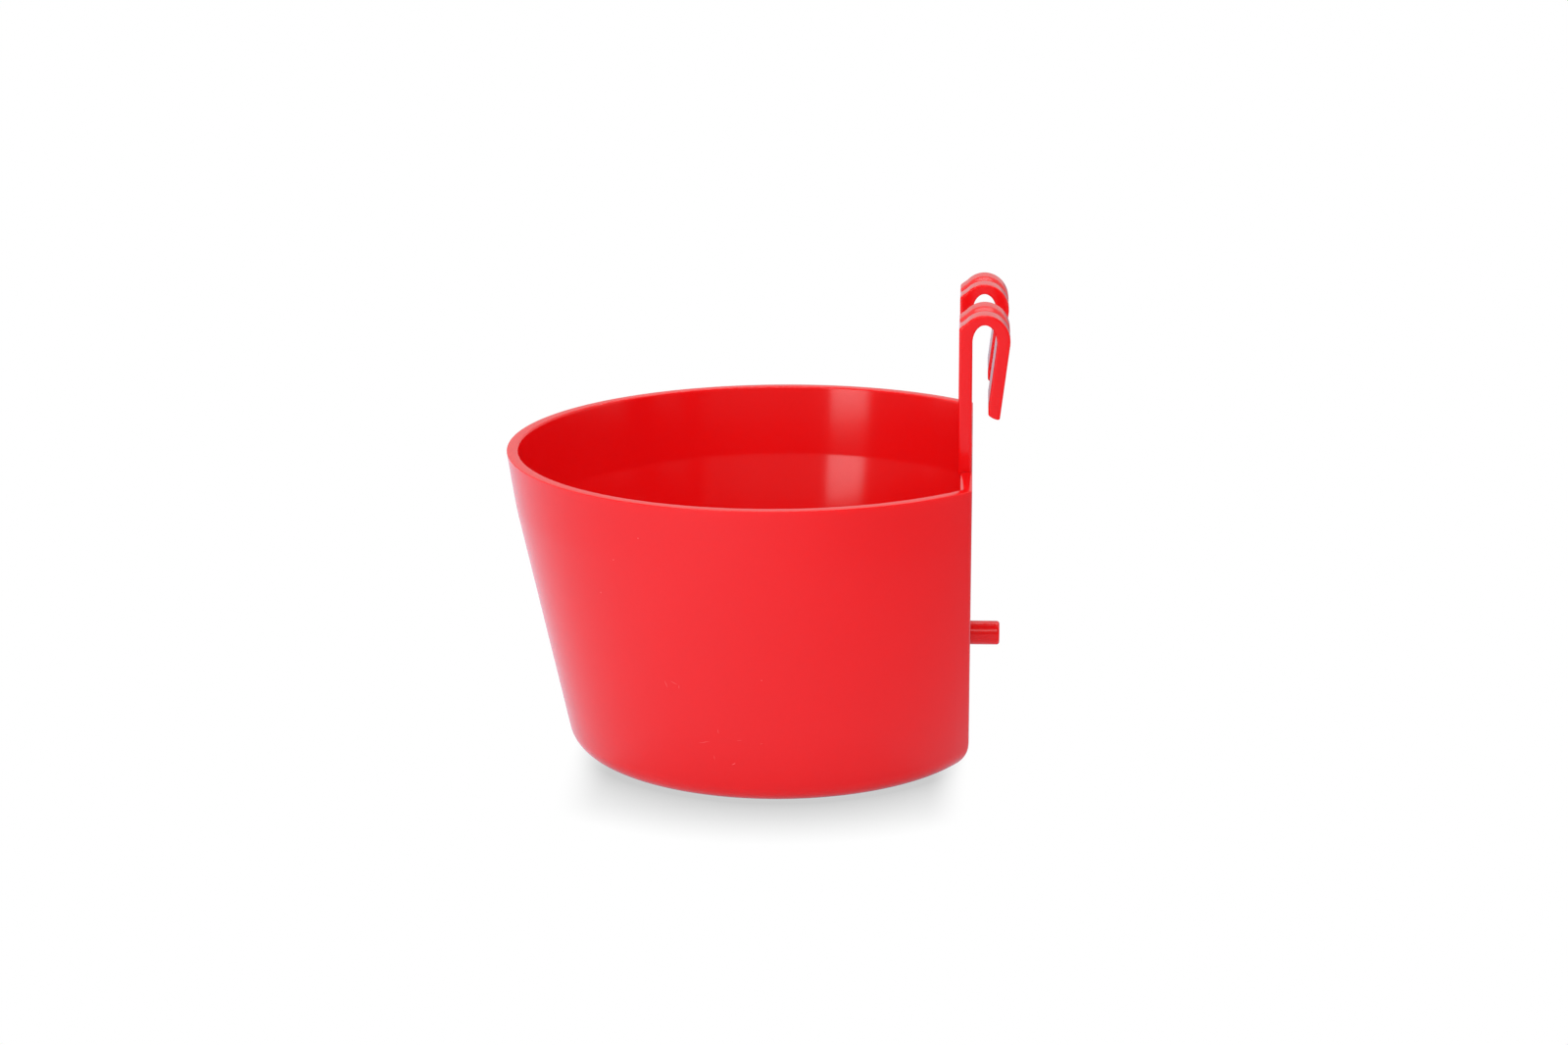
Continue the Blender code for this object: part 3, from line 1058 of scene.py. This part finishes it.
@dataclass
class Studio:
    """The pale floor, the soft light round it and the dim room in front.

    All lengths are in metres, and 1 is as bright as white paper.

    Attributes:
        aim: the point that the lamps are turned to.
        floor_radius: radius of the paper floor.
        floor_gap: how far the paper lies under the base.
        paper: colour of the paper.
        shadow_depth: how much the painted shadow darkens the paper where the cup hides all of it.
        shadow_limit: how bright the paper stays in the deepest shadow.
        shadow_softness: how gently the shadow reaches that limit.
        front_shadow: how far the painted shadow reaches in front of the cup, as under a light from behind.
        side_shadow: how far it reaches elsewhere.
        reach_ends: the Y at which the front's reach begins, and the Y at which the side's does.
        left_fade: the X at which the shadow has gone on the left, and the X at which it is full.
        right_fade: the X at which it is full on the right, and the X at which it has gone.
        painted_lit_side: painted light, how bright reflections show the paper at the round side of the cup.
        painted_shaded_side: painted shade, how bright they show it behind the cup's back.
        painted_shade_ends: the X at which the painted light ends, and the X at which the painted shade
            begins.
        cool_sheen: painted cool tint in which reflections show the paper.
        ambient: brightness of the surround as a light.
        ambient_tilt: how much brighter that light is at the round side than straight ahead.
        backdrop: how bright reflections show the surround.
        room_radius: distance of the dim room.
        room_level: how bright reflections show the room.
        room_half_angle: half the angle that the room fills.
        room_rise: how far it rises over the cup, as an angle from the floor.
        rise_steps: faces of the room from the floor up.
        room_steps: faces of the room from side to side.
        floor_steps: sides of the floor's outline.
        softboxes: the lamps.
    """

    aim: Vector
    floor_radius: float = 4.0
    floor_gap: float = 0.02 * MM
    paper: tuple[float, float, float] = (0.92, 0.92, 0.92)
    shadow_depth: float = 0.66
    shadow_limit: float = 0.60
    shadow_softness: float = 0.05
    front_shadow: float = 27 * MM
    side_shadow: float = 9 * MM
    reach_ends: tuple[float, float] = (-60 * MM, -20 * MM)
    left_fade: tuple[float, float] = (-54.5 * MM, -41 * MM)
    right_fade: tuple[float, float] = (39 * MM, 50 * MM)
    painted_lit_side: float = 0.92
    painted_shaded_side: float = 0.32
    painted_shade_ends: tuple[float, float] = (-120 * MM, 180 * MM)
    cool_sheen: tuple[float, float, float] = (0.97, 0.97, 1.12)
    ambient: float = 0.65
    ambient_tilt: float = 0.15
    backdrop: float = 0.6
    room_radius: float = 1.9
    room_level: float = 0.20
    room_half_angle: float = math.radians(72)
    room_rise: float = math.radians(88)
    rise_steps: int = 16
    room_steps: int = 24
    floor_steps: int = 96
    softboxes: tuple[Softbox, ...] = (
        Softbox("overhead_softbox", bearing=0, elevation=76, distance=1.2, width=1.0, height=0.7,
                radiance=1.45, mirrored=False),
        Softbox("back_softbox", bearing=180, elevation=66, distance=1.2, width=1.0, height=0.7,
                radiance=1.6),
        Softbox("front_softbox", bearing=0, elevation=37, distance=1.25, width=1.0, height=0.42,
                radiance=1.9),
        Softbox("side_softbox", bearing=-30, elevation=12, distance=1.35, width=0.42, height=0.5,
                radiance=3.3),
    )

    @staticmethod
    def direct_share(board: NodeBoard) -> bpy.types.NodeSocket:
        """Return 1 on rays that show the stage directly."""
        return board.put("ShaderNodeLightPath").outputs["Is Camera Ray"]

    @staticmethod
    def mirrored_share(board: NodeBoard) -> bpy.types.NodeSocket:
        """Return 1 on rays that show the stage in a reflection or through something."""
        path = board.put("ShaderNodeLightPath").outputs
        return board.math("ADD", path["Is Glossy Ray"], path["Is Transmission Ray"], clamp=True)

    def world(self) -> None:
        """Set a white surround that lights the cup at a plain level."""
        world = bpy.data.worlds.new("studio")
        bpy.context.scene.world = world
        world.use_nodes = True
        board = NodeBoard(world.node_tree)
        background = world.node_tree.nodes["Background"]
        background.inputs["Color"].default_value = WHITE
        direction = board.put("ShaderNodeTexCoord").outputs["Generated"]
        backwards = board.put("ShaderNodeSeparateXYZ", {"Vector": direction}).outputs["X"]
        light = board.math("MULTIPLY_ADD", backwards, -self.ambient_tilt * self.ambient, self.ambient)
        shown = board.math("SUBTRACT", self.backdrop, light)
        mixed = board.math("MULTIPLY_ADD", self.mirrored_share(board), shown, light)
        board.feed(background.inputs["Strength"], board.math("MAXIMUM", mixed, self.direct_share(board)))

    def stage_piece(self, work: bmesh.types.BMesh, name: str, material: bpy.types.Material,
                    sight: Sight) -> bpy.types.Object:
        """Turn a finished bmesh into a part of the stage.

        Args:
            work: the shape. It is freed.
            name: the object's name.
            material: its material.
            sight: which rays see it.

        Returns:
            The new object.
        """
        mesh = bpy.data.meshes.new(name)
        work.to_mesh(mesh)
        work.free()
        mesh.materials.append(material)
        panel = bpy.data.objects.new(name, mesh)
        bpy.context.scene.collection.objects.link(panel)
        if sight is Sight.REFLECTIONS:
            panel.visible_camera = False
            panel.visible_diffuse = False
            panel.visible_shadow = False
        return panel

    def floor(self) -> bpy.types.Object:
        """Return the paper floor.

        To the eye it is white with a painted soft shadow of the cup, a reflection shows it with painted
        light, one side darker than the other, and to all other light it is plain pale paper.
        """
        material = bpy.data.materials.new("pale_paper")
        material.use_nodes = True
        nodes = material.node_tree.nodes
        board = NodeBoard(material.node_tree)
        paper = nodes["Principled BSDF"]
        paper.inputs["Base Color"].default_value = (*self.paper, 1)
        paper.inputs["Roughness"].default_value = 1.0
        paper.inputs["Specular IOR Level"].default_value = 0.0
        position = board.put("ShaderNodeTexCoord").outputs["Object"]
        place = board.put("ShaderNodeSeparateXYZ", {"Vector": position}).outputs
        # Painted shadow: the paper's emission is darkened where ambient occlusion finds the cup, reaching
        # further in front, and faded out to the left and right.
        reach = board.ramp(place["Y"], *self.reach_ends, self.front_shadow, self.side_shadow)
        openness = board.put("ShaderNodeAmbientOcclusion", {"Distance": reach}).outputs["AO"]
        lit = board.math("MULTIPLY_ADD", openness, self.shadow_depth, 1 - self.shadow_depth)
        lit = board.math("SMOOTH_MAX", lit, self.shadow_limit, self.shadow_softness)
        left = board.ramp(place["X"], *self.left_fade, 0.0, 1.0)
        right = board.ramp(place["X"], *self.right_fade, 1.0, 0.0)
        shaded = board.math("MULTIPLY", left, right)
        lit = board.math("MULTIPLY_ADD", shaded, board.math("SUBTRACT", lit, 1.0), 1.0)
        # Painted light and shade: reflections show the paper brighter at the round side and darker behind the
        # back, in a cool tint.
        reflected = board.ramp(place["X"], *self.painted_shade_ends, self.painted_lit_side, self.painted_shaded_side)
        direct = self.direct_share(board)
        level = board.math("MAXIMUM", direct, reflected)
        tint = board.blend(direct, (*self.cool_sheen, 1), WHITE)
        strength = board.math("MULTIPLY", lit, level)
        look = board.put("ShaderNodeEmission", {"Color": tint, "Strength": strength})
        seen = board.math("ADD", direct, self.mirrored_share(board), clamp=True)
        shaders = {0: seen, 1: paper.outputs["BSDF"], 2: look.outputs["Emission"]}
        mix = board.put("ShaderNodeMixShader", shaders)
        board.feed(nodes["Material Output"].inputs["Surface"], mix.outputs["Shader"])
        work = bmesh.new()
        bmesh.ops.create_circle(work, cap_ends=True, segments=self.floor_steps, radius=self.floor_radius,
                                matrix=Matrix.Translation((0, 0, -self.floor_gap)))
        return self.stage_piece(work, "paper_floor", material, Sight.EVERYTHING)

    def dim_room(self) -> bpy.types.Object:
        """Return the dim room in front of the cup, which only reflections show."""
        material = bpy.data.materials.new("dim_room")
        material.use_nodes = True
        shader = material.node_tree.nodes["Principled BSDF"]
        shader.inputs["Base Color"].default_value = BLACK
        shader.inputs["Specular IOR Level"].default_value = 0.0
        shader.inputs["Emission Color"].default_value = WHITE
        shader.inputs["Emission Strength"].default_value = self.room_level
        work = bmesh.new()
        start = Matrix.Rotation(-self.room_half_angle, 3, UP) @ Vector((0, -self.room_radius, 0))
        pen = Pen(work, start)
        pen.turn(Vector((0, 0, 0)), start.cross(UP), self.room_rise, self.rise_steps)
        bmesh.ops.spin(work, geom=work.verts[:] + work.edges[:], cent=(0, 0, 0), axis=UP,
                       angle=2 * self.room_half_angle, steps=self.room_steps)
        return self.stage_piece(work, "dim_room", material, Sight.REFLECTIONS)

    def build(self) -> None:
        """Set up the light, the floor and the room."""
        self.world()
        self.floor()
        self.dim_room()
        for softbox in self.softboxes:
            softbox.build(self.aim)


def main() -> None:
    """Build the feeder's pieces, the studio and the camera."""
    logging.basicConfig(level=logging.INFO, format="%(name)s: %(message)s")
    bpy.context.scene.view_settings.view_transform = "Standard"

    cup = Cup()
    effects = PlasticEffects(cup)
    satin = MouldedFinish("satin_red_plastic", roughness=0.18, peel_scale=520.0, peel_depth=0.005 * MM,
                          mark_share=0.8).material(effects)
    gloss = MouldedFinish("gloss_red_plastic", roughness=0.13).material(effects)
    turned = MouldedFinish("turned_red_plastic", roughness=0.155, stretch=0.5).material(effects)

    cup.build(satin, turned)
    for hook in Hook:
        HookStrap(hook).build(gloss)
    StandOffPeg().build(gloss)

    Studio(aim=Vector((0, 0, 0.05))).build()
    PhotoCamera(target=Vector((0.001197, 0, 0.057654))).build()


if __name__ == "__main__":
    main()
